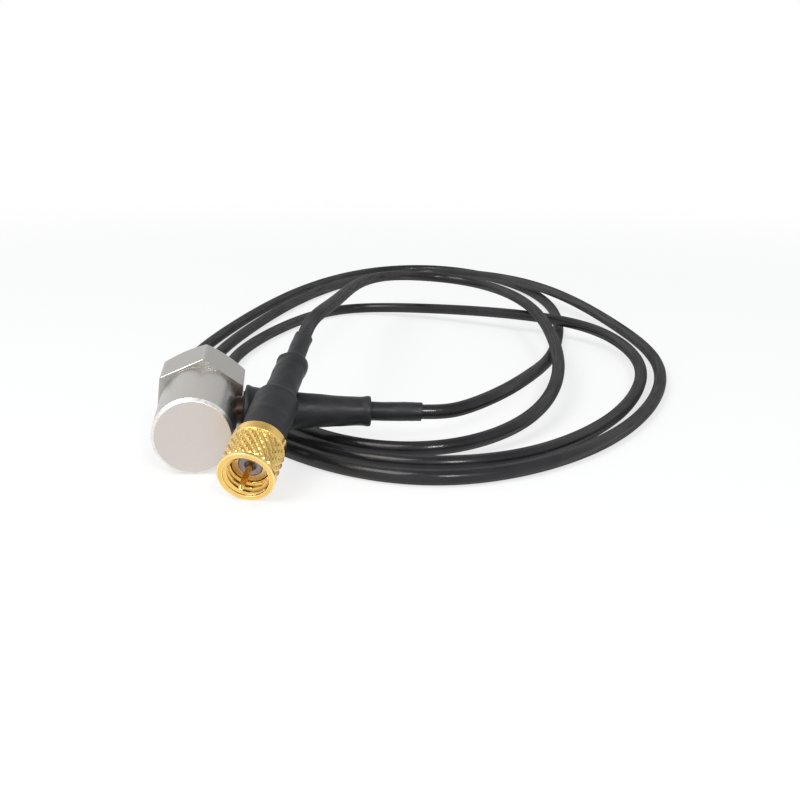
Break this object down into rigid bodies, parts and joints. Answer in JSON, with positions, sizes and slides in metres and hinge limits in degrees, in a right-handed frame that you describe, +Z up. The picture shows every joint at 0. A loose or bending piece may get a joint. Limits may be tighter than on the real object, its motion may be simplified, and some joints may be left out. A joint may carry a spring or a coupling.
{
  "type": "vibration sensor",
  "caption": "Small piezoelectric vibration sensor with a hexagonal base, round case, side cable exit, thin looped cable and a gold-plated coaxial plug whose knurled coupling nut turns.",
  "frame": {"origin": "on the table under the middle of the sensor's own box, cable and plug left out", "axes": "+Z up from the table; the sensor lies on its side with its cap towards -Y, its mounting face towards +Y and its cable exit towards +X"},
  "size_m": [0.075, 0.1531, 0.0145],
  "materials": {
    "stainless_steel": "satin turned stainless steel",
    "insulator": "smooth",
    "piezo_ceramic": "matt fired ceramic",
    "copper": "bright",
    "heavy_alloy": "ground",
    "seal_compound": "cast",
    "shrink_tube": "matt shrunk tube",
    "cable_jacket": "semi-gloss extruded jacket",
    "gold_plate": "bright gold plate",
    "plug_insulator": "smooth"
  },
  "bodies": {
    "sensor": {"hex_base": "stainless_steel", "case_shell": "stainless_steel", "insulating_sleeve": "insulator", "lower_piezo_ring": "piezo_ceramic", "signal_electrode": "copper", "upper_piezo_ring": "piezo_ceramic", "seismic_mass": "heavy_alloy", "spring_washer": "stainless_steel", "preload_nut": "stainless_steel", "signal_lead": "copper", "exit_tube": "stainless_steel", "exit_seal": "seal_compound", "sensor_boot": "shrink_tube", "sensor_sleeve": "shrink_tube", "cable": "cable_jacket", "plug_sleeve": "shrink_tube", "plug_boot": "shrink_tube", "plug_collar": "shrink_tube", "crimp_ferrule": "gold_plate", "retaining_ring": "gold_plate", "plug_body": "gold_plate", "plug_insulator": "plug_insulator", "contact_pin": "gold_plate"},
    "plug_nut": {"coupling_nut": "gold_plate"}
  },
  "joints": [
    {"name": "nut_spin", "type": "hinge", "parent": "sensor", "child": "plug_nut", "pos_m": [0.0063, -0.0178, 0.00299], "axis": [0.2276, 0.913, 0.3384], "continuous": true}
  ]
}
